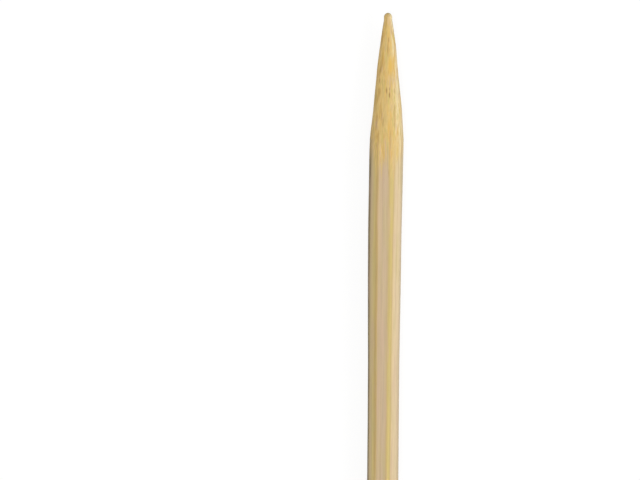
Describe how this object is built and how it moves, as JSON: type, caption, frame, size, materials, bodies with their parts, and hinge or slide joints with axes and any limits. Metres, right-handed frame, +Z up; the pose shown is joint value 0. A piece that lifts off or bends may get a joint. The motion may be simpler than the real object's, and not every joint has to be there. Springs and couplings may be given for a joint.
{
  "type": "bamboo skewer",
  "caption": "Thick bamboo skewer: a round stick with long planed flats, a long tapered point with a blunt nib, and a square sawn butt, for threading food.",
  "frame": {"origin": "on the surface that the skewer lies on, below the middle of its length and its centre line", "axes": "+X along the skewer towards its point, +Z up, the widest planed flat facing -Z"},
  "size_m": [0.15, 0.005, 0.0049],
  "materials": {
    "bamboo": "bare planed bamboo, matt with a faint sheen along the fibres"
  },
  "bodies": {
    "root": {"skewer": "bamboo"}
  },
  "joints": []
}
